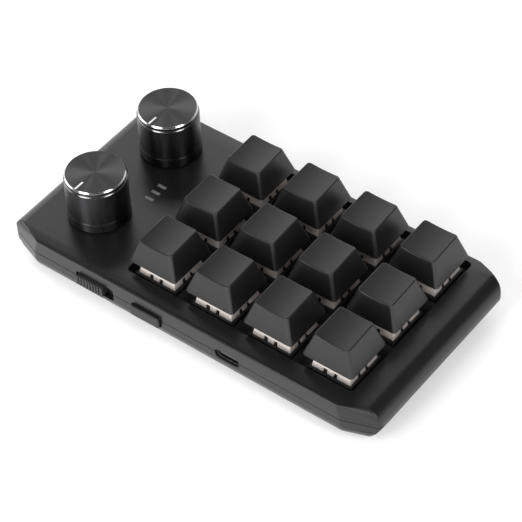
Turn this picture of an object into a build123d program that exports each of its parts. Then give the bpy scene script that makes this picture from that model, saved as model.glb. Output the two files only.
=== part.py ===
from build123d import *
import os
from math import sqrt

# Macro keypad with twelve keys and two push dials. Millimetres, +Z up.
# X runs along the case from the dial end (-X) to the key end (+X). The ports are in the -Y side.
# The origin is under the middle of the case, on the surface that the feet stand on.

# Layout. Keys, dials and the USB-C receptacle are standard parts, so the case's length and width follow
# from how far these stand from each other and from its sides.
key_columns = 4
key_rows = 3
key_pitch = 22.0
key_end_margin = 21.85
key_back_margin = 12.55
dial_end_margin = 21.5
dial_key_distance = 32.65
dial_front_offset = 4.65
dial_back_offset = 3.25

# Case
foot_stand = 1.2
lower_shell_height = 8.1
upper_shell_height = 6.0
wall = 2.0
roof = 2.0
floor = 2.0
shoulder_radius = 5.6
shoulder_slant = 2.6
corner_run = 11.8
corner_depth = 4.2
corner_radius = 2.5
front_corner_lean = 1.7
front_corner_edge = 0.6
end_undercut = 4.5
end_band = 0.3
bottom_edge_radius = 5.3
bottom_edge_slant = 2.4
top_edge_bevel = 0.4
long_edge_fall = 0.3
long_edge_fall_width = 6.5
seam_gap = 0.25
lip_thickness = 0.9
lip_height = 1.4
lip_clearance = 0.1
lip_end_setback = 15.0

# Key well and keys
well_margin = 0.8
well_depth = 2.9
well_radius = 1.5
well_floor = 1.5
well_wall = 1.5
keycap_base = 18.1
keycap_top_x = 12.3
keycap_top_y = 13.3
keycap_corner_radius = 1.2
keycap_front_height = 8.6
keycap_back_height = 9.15
keycap_dish_depth = 0.45
keycap_wall = 1.3
keycap_roof = 1.6
keycap_rib = 0.8
keycap_rib_clearance = 0.2
keycap_lift = 6.8
key_travel = 4.0

# Switch, measured from the top of the well floor that it clips into
switch_body = 13.9
switch_hole_clearance = 0.05
switch_flange = 15.6
switch_flange_height = 1.0
switch_board_drop = 5.0
switch_wall = 1.0
housing_base_x = 14.1
housing_base_y = 14.0
housing_top_x = 12.2
housing_top_y = 11.7
housing_height = 6.6
housing_wall = 0.9
notch_height = 1.5
notch_depth = 1.1
narrow_notch = 1.3
narrow_notch_place = -1.5
wide_notch = 1.4
wide_notch_place = 2.15
latch_height = 1.2
latch_clearance = 0.1
slider_x = 7.2
slider_y = 5.6
slider_clearance = 0.2
slider_length = 6.4
shoulder_x = 9.4
shoulder_gap = 0.2
cross_span = 4.05
cross_thin = 1.17
cross_thick = 1.29
cross_height = 3.6
socket_clearance = 0.04
socket_radius = 2.75
socket_depth = 3.8
pole_radius = 1.5
pole_clearance = 0.1
pole_end_gap = 0.2
peg_radius = 2.0
peg_length = 3.3
peg_floor = 0.5
spring_radius = 2.3
spring_wire = 0.35
spring_seat_depth = 2.6
contact_pin_width = 1.0
contact_leaf_width = 2.0
contact_thickness = 0.3
contact_leaf_height = 4.6
contact_places = ((-3.81, 4.1), (2.54, 4.8))

# Board, and the pieces soldered to it, each placed from the first key column and the middle of the rows
board_thickness = 1.6
board_edge_gap = 1.0
board_end_setback = 5.0
board_port_setback = 3.6
controller_size = (7.0, 7.0, 1.0)
controller_place = (-17.65, -13.95)
memory_size = (4.0, 4.0, 0.9)
memory_place = (-17.65, -22.95)
radio_size = (12.0, 4.0, 0.8)
radio_place = (-17.65, 25.05)
battery_socket_size = (5.0, 3.6, 3.0)
battery_socket_place = (-20.65, 10.55)
crystal_size = (3.2, 2.5, 0.8)
crystal_place = (-14.15, 2.05)
charger_size = (2.9, 1.6, 1.1)
charger_place = (-14.15, -6.45)
lamp_size = (1.6, 0.6, 0.6)
peg_hole_clearance = 0.1
pin_slot_clearance = 0.2

# Dials
knob_radius = 10.2
knob_collar_inset = 0.3
knob_face_inset = 0.6
knob_gap = 0.5
knob_height = 17.2
knob_rim_height = 0.5
knob_collar_height = 1.0
knob_wall = 1.5
knob_foot_inset = 0.3
knob_mark_width = 0.8
knob_mark_depth = 0.25
knob_mark_length = 3.5
knob_mark_inset = 0.2
knob_mark_angle = 269.0
knob_core_recess = 0.5
bushing_radius = 3.4
bushing_length = 6.0
bushing_recess_clearance = 0.8
shaft_radius = 3.0
shaft_clearance = 0.04
shaft_flat = 1.5
shaft_length = 19.2
shaft_tail_radius = 1.9
dial_travel = 0.5
encoder_size = 12.0
encoder_base_height = 4.8
encoder_frame_thickness = 1.2
encoder_leg_thickness = 0.6
encoder_leg_width = 6.0
encoder_wall = 1.0
encoder_relief_clearance = 0.3
rotor_radius = 4.4
rotor_thickness = 1.6
rotor_clearance = 0.3
dome_radius = 2.2
dome_height = 0.3

# Indicator bars
light_dial_distance = 8.95
light_offset = 0.3
light_count = 3
light_pitch = 3.25
light_length = 3.3
light_width = 1.2
light_clearance = 0.05
light_plate = 0.9
light_plate_margin = 1.2

# Side controls, in the -Y wall
control_protrusion = 1.2
flange_thickness = 0.7
flange_gap = 0.2
slide_dial_distance = 15.0
slide_slot_length = 14.9
slide_slot_z = 8.7
slide_slot_height = 4.9
slide_slot_radius = 0.8
slide_cap_length = 10.6
slide_cap_height = 3.8
slide_cap_radius = 0.5
slide_cap_z = 8.6
slide_flange_side = 0.5
slide_flange_lip = 0.2
slide_travel = 3.0
slide_grip_count = 8
slide_grip_depth = 0.35
slide_frame_length = 13.0
slide_frame_depth = 4.0
slide_frame_height = 3.3
slide_frame_wall = 0.4
actuator_width = 2.0
actuator_clearance = 0.1
slide_button_distance = 20.6
button_length = 11.2
button_height = 4.2
button_z = 8.45
button_gap = 0.3
button_edge_radius = 0.9
button_edge_bevel = 0.35
button_flange_side = 0.65
button_flange_lip = 0.3
button_travel = 0.3
button_switch_length = 7.0
button_switch_depth = 3.5
button_switch_height = 3.3
plunger_length = 3.0
plunger_height = 1.5
plunger_depth = 1.6
plunger_gap = 0.3
usb_offset = 1.2
usb_key_clearance = 1.35
usb_width = 8.94
usb_height = 3.16
usb_side_flat = 0.3
usb_depth = 7.35
usb_setback = 0.8
usb_shell = 0.3
usb_gap = 0.17
tongue_width = 6.7
tongue_thickness = 0.7

# Battery
battery_length = 19.0
battery_height = 6.2
battery_edge_radius = 1.0
battery_end_gap = 0.2
battery_dial_gap = 1.55
tape_thickness = 0.5
tape_length = 9.5
tape_width = 15.0
battery_gap = 0.75
bay_rib = 1.0
bay_rib_height = 2.4

# Screws and feet
screw_end_margin = 8.5
screw_side_margin = 9.0
boss_radius = 2.5
pilot_radius = 0.85
stand_radius = 3.0
screw_radius = 1.0
screw_clearance = 0.15
screw_length = 8.0
screw_head_radius = 1.9
screw_head_height = 1.3
head_recess_radius = 2.15
head_recess_depth = 1.6
foot_end_margin = 16.0
foot_side_margin = 13.5
foot_radius = 5.0
foot_seat_depth = 0.8
foot_seat_gap = 0.1
foot_bevel = 0.3

# Pegs, poles, sockets and bosses inside the case repeat often, and are made with this many flat sides
post_sides = 8

# Places that follow from the sizes above
key_front_margin = usb_setback + usb_depth + usb_key_clearance + switch_body / 2
case_length = dial_end_margin + dial_key_distance + (key_columns - 1) * key_pitch + key_end_margin
case_width = key_front_margin + (key_rows - 1) * key_pitch + key_back_margin
half_length = case_length / 2
half_width = case_width / 2
dial_x = dial_end_margin - half_length
first_column_x = dial_x + dial_key_distance
first_row_y = key_front_margin - half_width
last_row_y = half_width - key_back_margin
key_grid_x = first_column_x + (key_columns - 1) / 2 * key_pitch
key_grid_y = (first_row_y + last_row_y) / 2
dial_front_y = first_row_y + dial_front_offset
dial_back_y = last_row_y - dial_back_offset
light_x = dial_x + light_dial_distance
light_y = key_grid_y - light_offset
slide_slot_x = dial_x + slide_dial_distance
button_x = slide_slot_x + slide_button_distance
usb_x = key_grid_x + usb_offset
battery_width = dial_back_y - dial_front_y - encoder_size - 2 * battery_dial_gap
battery_x = -half_length + end_undercut + wall + battery_end_gap + battery_length / 2
battery_y = (dial_front_y + dial_back_y) / 2
screw_x = half_length - screw_end_margin
screw_y = half_width - screw_side_margin
foot_x = half_length - foot_end_margin
foot_y = half_width - foot_side_margin
lip_length = case_length - 2 * lip_end_setback

# Levels that follow from the sizes above
case_bottom = foot_stand
seam = case_bottom + lower_shell_height
case_top = seam + upper_shell_height
floor_top = case_bottom + floor
plate_top = case_top - well_depth
plate_bottom = plate_top - well_floor
board_top = plate_top - switch_board_drop
board_bottom = board_top - board_thickness
flange_top = plate_top + switch_flange_height
housing_top = plate_top + housing_height
keycap_bottom = plate_top + keycap_lift
well_length = (key_columns - 1) * key_pitch + keycap_base + 2 * well_margin
well_width = (key_rows - 1) * key_pitch + keycap_base + 2 * well_margin
port_wall = -half_width
port_wall_inside = port_wall + wall
cut_reach = 5.0


def block(x_size, y_size, low, high, x=0.0, y=0.0):
    return Pos(x, y, (low + high) / 2) * Box(x_size, y_size, high - low)


def post(radius, low, high, x=0.0, y=0.0):
    return Pos(x, y, (low + high) / 2) * Cylinder(radius, high - low)


def many_sided_post(radius, low, high, x=0.0, y=0.0):
    return Pos(x, y, low) * extrude(RegularPolygon(radius, post_sides), high - low)


def rounded_block(x_size, y_size, radius, low, high, x=0.0, y=0.0):
    outline = RectangleRounded(x_size, y_size, radius)
    return Pos(x, y, low) * extrude(outline, high - low)


def tapered_block(low_size, low, high_size, high):
    along_x = arched_outline(low_size[0] / 2, high_size[0] / 2, low, high)
    along_y = arched_outline(low_size[1] / 2, high_size[1] / 2, low, high)
    form = extrude(Plane.XZ * along_x, low_size[1] / 2, both=True)
    return form & extrude(Plane.YZ * along_y, low_size[0] / 2, both=True)


def arched_outline(half_low, half_high, low, high):
    points = [(-half_low, low), (half_low, low), (half_high, high), (-half_high, high)]
    return Polygon(*points, align=None)


def side_block(x_size, z_size, front, back, x, z):
    return Pos(x, (front + back) / 2, z) * Box(x_size, back - front, z_size)


def side_rounded_block(x_size, z_size, radius, front, back, x, z):
    face = Plane(origin=(x, front, z), x_dir=(1, 0, 0), z_dir=(0, 1, 0))
    return extrude(face * RectangleRounded(x_size, z_size, radius), back - front)


def key_places():
    rows = [first_row_y + row * key_pitch for row in range(key_rows)]
    columns = [first_column_x + column * key_pitch for column in range(key_columns)]
    return [(x, y) for y in rows for x in columns]


def corner_screws():
    return [(x, y) for x in (-screw_x, screw_x) for y in (-screw_y, screw_y)]


def middle_screws():
    return [(key_grid_x, key_grid_y - key_pitch / 2), (key_grid_x, key_grid_y + key_pitch / 2)]


def screw_places():
    return corner_screws() + middle_screws()


def foot_places():
    return [(x, y) for x in (-foot_x, foot_x) for y in (-foot_y, foot_y)]


dial_places = [(dial_x, dial_front_y), (dial_x, dial_back_y)]


# Outer form of the shells: straight sides, corners cut on a slant, round shoulders at the ends above
# the seam, and ends that run in below it
def plan_outline(inset):
    end_x = half_length - inset
    side_y = half_width - inset
    side_x = half_length - corner_run - inset / 2
    end_y = half_width - corner_depth - inset / 2
    points = [(end_x, -end_y), (end_x, end_y), (side_x, side_y), (-side_x, side_y)]
    points += [(-x, -y) for x, y in points]
    return Polygon(*points, align=None)


def rounded_plan():
    outline = plan_outline(0)
    return fillet(outline.vertices(), corner_radius)


def lengthwise(y, outline):
    return Plane(origin=(0, y, 0), x_dir=(1, 0, 0), z_dir=(0, -1, 0)) * outline


def shouldered_outline(half_low, half_high, low, high, radius):
    outline = arched_outline(half_low, half_high, low, high)
    return fillet(outline.vertices().group_by(Axis.Y)[-1], radius)


def upper_form(low, high):
    side_x = half_length - corner_run
    end_y = half_width - corner_depth
    ends = shouldered_outline(half_length, half_length, low, high, shoulder_radius)
    body = extrude(lengthwise(half_width, ends), half_width + end_y)
    front = shouldered_outline(side_x, side_x - front_corner_lean, low, high, front_corner_edge)
    body += loft([lengthwise(-end_y, ends), lengthwise(-half_width, front)], ruled=True)
    return body & extrude(Pos(0, 0, low) * rounded_plan(), high - low)


# The hollow of the upper shell, with a slant where the outside has its shoulder
def upper_hollow(low, high):
    body = extrude(Pos(0, 0, low) * plan_outline(wall), high - low)
    end_x = half_length - wall
    slant_x = end_x - shoulder_slant
    points = [(end_x, low), (end_x, high - shoulder_slant), (slant_x, high)]
    points += [(-x, z) for x, z in reversed(points)]
    return body & extrude(lengthwise(half_width, Polygon(*points, align=None)), case_width)


def lower_ends(inset, high):
    end_x = half_length - inset
    shift = inset * end_undercut / lower_shell_height
    points = [(end_x - end_undercut, case_bottom - shift), (end_x, seam - end_band - shift), (end_x, high)]
    points += [(-x, z) for x, z in reversed(points)]
    return extrude(lengthwise(half_width, Polygon(*points, align=None)), case_width)


def lower_form(high):
    body = extrude(Pos(0, 0, case_bottom) * rounded_plan(), high - case_bottom)
    body = fillet(body.edges().group_by(Axis.Z)[0], bottom_edge_radius)
    return body & lower_ends(0, high)


# The hollow of the lower shell, with a slant where the outside has its rounded lower edge
def lower_hollow(low, high):
    body = extrude(Pos(0, 0, low) * plan_outline(wall), high - low)
    body = chamfer(body.edges().group_by(Axis.Z)[0], bottom_edge_slant)
    return body & lower_ends(wall, high)


# What the long top edges lose: a shallow fall that ends in a small bevel
def long_edge_waste():
    start = (half_width - long_edge_fall_width, case_top)
    end = (half_width - top_edge_bevel, case_top - long_edge_fall)
    foot = (half_width, case_top - long_edge_fall - top_edge_bevel)
    fall = TangentArc(start, end, tangent=(1, 0))
    profile = make_face(fall + Polyline(end, foot, (half_width, case_top), start))
    waste = extrude(Plane.YZ * profile, half_length, both=True)
    return [waste, mirror(waste, Plane.XZ)]


def side_openings():
    outside = port_wall - cut_reach
    inside = port_wall_inside + lip_clearance
    slot = side_rounded_block(
        slide_slot_length, slide_slot_height, slide_slot_radius, outside, inside, slide_slot_x, slide_slot_z
    )
    button = side_rounded_block(
        button_length + 2 * button_gap,
        button_height + 2 * button_gap,
        button_edge_radius + button_gap,
        outside,
        inside,
        button_x,
        button_z,
    )
    port = side_rounded_block(
        usb_width + 2 * usb_gap,
        usb_height + 2 * usb_gap,
        usb_corner_radius() + usb_gap,
        outside,
        inside,
        usb_x,
        board_top + usb_height / 2,
    )
    return [slot, button, port]


# Upper shell, with the key well, the screw bosses and the light pipe's bars
def make_top_case():
    low = seam + seam_gap / 2
    shell = upper_form(seam, case_top)
    for waste in long_edge_waste():
        shell -= waste
    shell -= upper_hollow(seam, case_top - roof)
    tub = rounded_block(
        well_length + 2 * well_wall,
        well_width + 2 * well_wall,
        well_radius + well_wall,
        plate_bottom,
        case_top - roof / 2,
        key_grid_x,
        key_grid_y,
    )
    shell += tub & block(case_length, 2 * (half_width - wall / 2), plate_bottom, case_top)
    for x, y in corner_screws():
        shell += many_sided_post(boss_radius, board_top, case_top - roof / 2, x, y)
    for x, y in middle_screws():
        shell += many_sided_post(boss_radius, board_top, plate_top - well_floor / 2, x, y)
    shell -= rounded_block(
        well_length, well_width, well_radius, plate_top, case_top + cut_reach, key_grid_x, key_grid_y
    )
    hole = switch_body + 2 * switch_hole_clearance
    for x, y in key_places():
        shell -= block(hole, hole, plate_bottom - cut_reach, plate_top + cut_reach, x, y)
    for x, y in screw_places():
        shell -= many_sided_post(pilot_radius, board_top, plate_bottom + well_floor / 3, x, y)
    relief = encoder_size + 2 * (encoder_leg_thickness + encoder_relief_clearance)
    relief_top = board_top + encoder_base_height + encoder_frame_thickness + encoder_relief_clearance
    bushing_hole = bushing_radius + encoder_relief_clearance
    for x, y in dial_places:
        shell -= block(relief, relief, seam, relief_top, x, y)
        shell -= post(bushing_hole, seam, case_top + cut_reach, x, y)
    for y in light_rows():
        shell -= block(light_length, light_width, seam, case_top + cut_reach, light_x, y)
    groove_length = lip_length + 2 * lip_clearance
    groove_width = lip_thickness + 2 * lip_clearance
    groove_top = seam + lip_height + lip_clearance
    for sign in (-1, 1):
        middle = sign * (half_width - wall + lip_thickness / 2)
        shell -= block(groove_length, groove_width, seam - cut_reach, groove_top, 0, middle)
    for cutter in side_openings():
        shell -= cutter
    return shell - block(case_length, case_width, seam - seam_gap, low) + screw_boss_ends(low)


def screw_boss_ends(high):
    ends = []
    for x, y in screw_places():
        end = many_sided_post(boss_radius, board_top, high, x, y)
        ends.append(end - many_sided_post(pilot_radius, board_top, high, x, y))
    return ends


# Lower shell, with stands for the board, the battery bay and the feet's seats
def make_bottom_case():
    high = seam - seam_gap / 2
    shell = lower_form(high) - lower_hollow(floor_top, high)
    for sign in (-1, 1):
        middle = sign * (half_width - wall + lip_thickness / 2)
        shell += block(lip_length, lip_thickness, seam - lip_height, seam + lip_height, 0, middle)
    for x, y in screw_places():
        shell += many_sided_post(stand_radius, floor_top - floor / 2, board_bottom, x, y)
    rib_x = battery_length + 2 * battery_gap + 2 * bay_rib
    rib_y = battery_width + battery_gap + bay_rib
    bay = block(rib_x, rib_y, floor_top - floor / 2, floor_top + bay_rib_height, battery_x, battery_y)
    bay -= block(
        rib_x - 2 * bay_rib, rib_y, case_bottom, floor_top + bay_rib_height + cut_reach, battery_x, battery_y
    )
    shell += bay & lower_form(high)
    for x, y in screw_places():
        shell -= many_sided_post(screw_radius + screw_clearance, case_bottom, board_bottom, x, y)
        shell -= post(head_recess_radius, case_bottom, case_bottom + head_recess_depth, x, y)
    for x, y in foot_places():
        shell -= post(foot_radius + foot_seat_gap, case_bottom, case_bottom + foot_seat_depth, x, y)
    for cutter in side_openings():
        shell -= cutter
    return shell


# Keycap with a dished top, a hollow body and the cross socket on ribs
def make_keycap():
    slope_x = (keycap_base - keycap_top_x) / (keycap_front_height + keycap_back_height)
    slope_y = (keycap_base - keycap_top_y) / (keycap_front_height + keycap_back_height)
    blank_height = keycap_back_height + keycap_dish_depth
    high_size = (keycap_base - 2 * slope_x * blank_height, keycap_base - 2 * slope_y * blank_height)
    low = keycap_bottom
    cap = tapered_block((keycap_base, keycap_base), low, high_size, low + blank_height)
    corners = [edge for edge in cap.edges() if edge.tangent_at(0.5).Z ** 2 > 0.5]
    cap = fillet(corners, keycap_corner_radius)
    dish_radius = keycap_top_x**2 / (8 * keycap_dish_depth) + keycap_dish_depth / 2
    sag = dish_radius - sqrt(dish_radius**2 - (keycap_top_x / 2) ** 2)
    middle_height = (keycap_front_height + keycap_back_height) / 2
    tilt = Vector(0, keycap_top_y, keycap_back_height - keycap_front_height)
    centre = Vector(0, 0, low + middle_height - sag + dish_radius)
    dish = Plane(origin=centre, z_dir=tilt) * Cylinder(dish_radius, 2 * keycap_base)
    cap -= dish
    hollow_height = middle_height - sag - keycap_roof
    inside_low = keycap_base - 2 * keycap_wall
    inside_high = (inside_low - 2 * slope_x * hollow_height, inside_low - 2 * slope_y * hollow_height)
    cap -= tapered_block((inside_low, inside_low), low, inside_high, low + hollow_height)
    rib_low = low + key_travel + keycap_rib_clearance
    rib_high = low + hollow_height + keycap_roof / 2
    cap += block(inside_high[0] + keycap_wall, keycap_rib, rib_low, rib_high)
    cap += block(keycap_rib, inside_high[1] + keycap_wall, rib_low, rib_high)
    cap += many_sided_post(socket_radius, low, rib_high)
    gap = 2 * socket_clearance
    cap -= block(cross_span + gap, cross_thin + gap, low, low + socket_depth)
    cap -= block(cross_thick + gap, cross_span + gap, low, low + socket_depth)
    return cap


# Switch: a stem that slides in two clipped housings over a spring and two contact leaves
def bore_low():
    return board_top - peg_length + peg_floor


def make_stem():
    slider_low = housing_top - slider_length
    seat = slider_low + spring_seat_depth
    stem = block(slider_x, slider_y, slider_low, housing_top)
    stem += block(shoulder_x, slider_y, slider_low, housing_top - housing_wall - shoulder_gap)
    seat_size = 2 * (spring_radius + pole_clearance)
    stem -= block(seat_size, seat_size, slider_low, seat)
    stem += many_sided_post(pole_radius, bore_low() + key_travel + pole_end_gap, seat)
    stem += block(cross_span, cross_thin, housing_top, housing_top + cross_height)
    stem += block(cross_thick, cross_span, housing_top, housing_top + cross_height)
    return stem


# The spring as a plain many-sided sleeve of the coil's size
def make_spring():
    low = board_top + switch_wall
    high = housing_top - slider_length + spring_seat_depth
    outline = RegularPolygon(spring_radius, post_sides)
    outline -= RegularPolygon(spring_radius - spring_wire, post_sides)
    return Pos(0, 0, low) * extrude(outline, high - low)


def make_switch_base():
    base = block(switch_body, switch_body, board_top, plate_top)
    base += block(switch_flange, switch_flange, plate_top, flange_top)
    inside = switch_body - 2 * switch_wall
    base -= block(inside, inside, board_top + switch_wall, flange_top)
    base += many_sided_post(peg_radius, board_top - peg_length, board_top)
    base -= many_sided_post(pole_radius + pole_clearance, bore_low(), board_top + switch_wall)
    latch = wide_notch - 2 * latch_clearance
    place = housing_base_y / 2 - notch_depth / 2
    for turn in range(4):
        piece = block(latch, notch_depth / 2, flange_top, flange_top + latch_height, wide_notch_place, place)
        base += Rot(0, 0, 90 * turn) * piece
    hole_x = contact_pin_width + 2 * latch_clearance
    hole_y = contact_thickness + 2 * latch_clearance
    for x, y in contact_places:
        base -= block(hole_x, hole_y, board_top, board_top + switch_wall, x, y)
    return base


def make_switch_top():
    low = flange_top
    housing = tapered_block(
        (housing_base_x, housing_base_y), low, (housing_top_x, housing_top_y), housing_top
    )
    ceiling = housing_top - housing_wall
    housing -= tapered_block(
        (housing_base_x - 2 * housing_wall, housing_base_y - 2 * housing_wall),
        low,
        (housing_top_x - 2 * housing_wall, housing_top_y - 2 * housing_wall),
        ceiling,
    )
    housing -= block(
        slider_x + 2 * slider_clearance, slider_y + 2 * slider_clearance, ceiling, housing_top
    )
    for turn in range(4):
        for width, place in ((narrow_notch, narrow_notch_place), (wide_notch, wide_notch_place)):
            reach = housing_base_y / 2
            cutter = block(width, 2 * notch_depth, low, low + notch_height, place, reach)
            housing -= Rot(0, 0, 90 * turn) * cutter
    return housing


def make_contacts():
    leaves = []
    foot = board_top + switch_wall
    for x, y in contact_places:
        pin = block(contact_pin_width, contact_thickness, board_top - peg_length, foot, x, y)
        leaf = block(contact_leaf_width, contact_thickness, foot, foot + contact_leaf_height, x, y)
        leaves.append(pin + leaf)
    return leaves


# Dial: encoder with a metal bracket, a turning rotor, a shaft that turns and pushes, and a knob
def make_encoder_base():
    high = board_top + encoder_base_height
    cavity_radius = rotor_radius + rotor_clearance
    base = block(encoder_size, encoder_size, board_top, high)
    base -= post(cavity_radius, board_top + encoder_wall, high)
    return base


def make_encoder_frame():
    low = board_top + encoder_base_height
    high = low + encoder_frame_thickness
    span = encoder_size + 2 * encoder_leg_thickness
    frame = block(span, encoder_size, low, high)
    for sign in (-1, 1):
        leg_x = sign * (encoder_size + encoder_leg_thickness) / 2
        frame += block(encoder_leg_thickness, encoder_leg_width, board_top, high, leg_x, 0)
    frame += post(bushing_radius, high, high + bushing_length)
    frame -= post(shaft_radius + shaft_clearance, low, high + bushing_length)
    return frame


def rotor_low():
    return board_top + encoder_base_height - rotor_clearance - rotor_thickness


def make_encoder_rotor():
    low = rotor_low()
    rotor = post(rotor_radius, low, low + rotor_thickness)
    bore = post(shaft_tail_radius + shaft_clearance, low, low + rotor_thickness)
    flat = block(
        2 * rotor_radius,
        2 * rotor_radius,
        low,
        low + rotor_thickness,
        rotor_radius + shaft_flat / 2 + shaft_clearance,
        0,
    )
    return rotor - (bore - flat)


def shaft_low():
    return board_top + encoder_wall + dome_height + dial_travel + shaft_clearance


def make_encoder_shaft():
    shoulder = board_top + encoder_base_height + dial_travel + rotor_clearance / 2
    shaft_top = shaft_low() + shaft_length
    shaft = post(shaft_radius, shoulder, shaft_top)
    flat_low = board_top + encoder_base_height + encoder_frame_thickness + bushing_length + dial_travel
    shaft -= block(
        shaft_radius, 2 * shaft_radius, flat_low, shaft_top, shaft_flat + shaft_radius / 2, 0
    )
    tail = post(shaft_tail_radius, shaft_low(), shoulder)
    tail -= block(
        shaft_radius, 2 * shaft_radius, shaft_low(), shoulder, (shaft_flat + shaft_radius) / 2, 0
    )
    return shaft + tail


def make_encoder_dome():
    low = board_top + encoder_wall
    return post(dome_radius, low, low + dome_height)


def make_knob():
    low = case_top + knob_gap
    high = low + knob_height
    inner = knob_radius - knob_wall
    collar_radius = knob_radius - knob_collar_inset
    face_radius = knob_radius - knob_face_inset
    collar_low = high - knob_rim_height - knob_collar_height
    points = [
        (inner, low),
        (knob_radius - knob_foot_inset, low),
        (knob_radius, low + knob_foot_inset),
        (knob_radius, collar_low - knob_collar_inset),
        (collar_radius, collar_low),
        (collar_radius, high - knob_rim_height),
        (face_radius, high),
        (0, high),
        (0, high - knob_wall),
        (inner, high - knob_wall),
    ]
    profile = Plane.XZ * Polygon(*points, align=None)
    knob = revolve(profile, Axis.Z)
    mark_middle = face_radius - knob_mark_inset - knob_mark_length / 2
    mark = block(knob_mark_length, knob_mark_width, high - knob_mark_depth, high + cut_reach, mark_middle)
    return knob - Rot(0, 0, knob_mark_angle) * mark


def make_knob_core():
    low = case_top + knob_gap + knob_core_recess
    high = case_top + knob_gap + knob_height - knob_wall
    core = post(knob_radius - knob_wall, low, high)
    bushing_top = board_top + encoder_base_height + encoder_frame_thickness + bushing_length
    recess_top = bushing_top + dial_travel + bushing_recess_clearance
    core -= post(bushing_radius + bushing_recess_clearance, low, recess_top)
    bore_top = shaft_low() + shaft_length + shaft_clearance
    bore = post(shaft_radius + shaft_clearance, recess_top, bore_top)
    flat = block(
        shaft_radius,
        3 * shaft_radius,
        recess_top,
        bore_top,
        shaft_flat + shaft_clearance + shaft_radius / 2,
        0,
    )
    return core - (bore - flat)


# Indicator bars, on one comb under the roof
def light_rows():
    start = light_y - (light_count - 1) / 2 * light_pitch
    return [start + i * light_pitch for i in range(light_count)]


def make_light_pipe():
    high = case_top - roof
    plate_y = (light_count - 1) * light_pitch + light_width + 2 * light_plate_margin
    pipe = block(light_length + 2 * light_plate_margin, plate_y, high - light_plate, high, light_x, light_y)
    gap = 2 * light_clearance
    for y in light_rows():
        pipe += block(light_length - gap, light_width - gap, high, case_top - light_clearance, light_x, y)
    return pipe


# Board and what is soldered to it
def make_board():
    outline = plan_outline(wall + board_edge_gap)
    board = extrude(Pos(0, 0, board_bottom) * outline, board_thickness)
    board &= block(case_length - 2 * board_end_setback, case_width, board_bottom, board_top)
    board -= block(
        case_length, 2 * board_port_setback, board_bottom, board_top, 0, port_wall
    )
    for x, y in key_places():
        board -= many_sided_post(peg_radius + peg_hole_clearance, board_bottom, board_top, x, y)
        for pin_x, pin_y in contact_places:
            slot_x = contact_pin_width + 2 * pin_slot_clearance
            slot_y = contact_thickness + 2 * pin_slot_clearance
            board -= block(slot_x, slot_y, board_bottom, board_top, x + pin_x, y + pin_y)
    for x, y in screw_places():
        board -= many_sided_post(screw_radius + screw_clearance, board_bottom, board_top, x, y)
    notch_end = battery_x + battery_length / 2 + battery_gap
    notch_width = battery_width + 2 * battery_gap
    notch = block(
        2 * (notch_end + half_length), notch_width, board_bottom, board_top, -half_length, battery_y
    )
    return board - notch


def soldered(size, x, y):
    length, width, height = size
    return block(length, width, board_top, board_top + height, x, y)


def soldered_by_keys(size, place):
    return soldered(size, first_column_x + place[0], key_grid_y + place[1])


def make_board_components():
    pieces = [
        soldered_by_keys(controller_size, controller_place),
        soldered_by_keys(memory_size, memory_place),
        soldered_by_keys(radio_size, radio_place),
        soldered_by_keys(battery_socket_size, battery_socket_place),
        soldered_by_keys(crystal_size, crystal_place),
        soldered_by_keys(charger_size, charger_place),
    ]
    return pieces + [soldered(lamp_size, light_x, y) for y in light_rows()]


# Slide switch: ribbed cap, actuator and frame
def slide_rest_x():
    return slide_slot_x - slide_travel / 2


def make_slide_cap():
    x = slide_rest_x()
    front = port_wall - control_protrusion
    flange_front = port_wall_inside + flange_gap
    cap = side_rounded_block(
        slide_cap_length, slide_cap_height, slide_cap_radius, front, flange_front, x, slide_cap_z
    )
    flange_length = slide_slot_length + slide_travel + 2 * slide_flange_side
    flange_height = slide_slot_height + 2 * slide_flange_lip
    cap += side_block(
        flange_length, flange_height, flange_front, flange_front + flange_thickness, x, slide_cap_z
    )
    grip_pitch = slide_cap_length / (slide_grip_count + 1)
    for i in range(slide_grip_count):
        place = x + (i - (slide_grip_count - 1) / 2) * grip_pitch
        cap -= side_block(
            grip_pitch / 2, 2 * slide_cap_height, front, front + slide_grip_depth, place, slide_cap_z
        )
    pocket = actuator_width + 2 * actuator_clearance
    cap -= side_block(
        pocket, pocket, port_wall, flange_front + flange_thickness, x, actuator_z()
    )
    return cap


def actuator_z():
    return board_top + slide_frame_height / 2


def slide_frame_front():
    return port_wall + board_port_setback - flange_gap


def make_slide_actuator():
    front = port_wall + actuator_clearance
    back = slide_frame_front() + slide_frame_depth / 2
    shoe = side_block(
        2 * actuator_width,
        slide_frame_height - 2 * slide_frame_wall - 2 * actuator_clearance,
        slide_frame_front() + slide_frame_wall + actuator_clearance,
        back,
        slide_rest_x(),
        actuator_z(),
    )
    return shoe + side_block(actuator_width, actuator_width, front, back, slide_rest_x(), actuator_z())


def make_slide_frame():
    front = slide_frame_front()
    back = front + slide_frame_depth
    frame = side_block(
        slide_frame_length, slide_frame_height, front, back, slide_slot_x, actuator_z()
    )
    frame -= side_block(
        slide_frame_length - 2 * slide_frame_wall,
        slide_frame_height - 2 * slide_frame_wall,
        front + slide_frame_wall,
        back - slide_frame_wall,
        slide_slot_x,
        actuator_z(),
    )
    frame -= side_block(
        actuator_width + slide_travel + 4 * actuator_clearance,
        actuator_width + 2 * actuator_clearance,
        front - slide_frame_wall,
        front + 2 * slide_frame_wall,
        slide_slot_x,
        actuator_z(),
    )
    return frame


# Side button: cap, plunger and switch
def plunger_front():
    return port_wall_inside + flange_gap + flange_thickness


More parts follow.
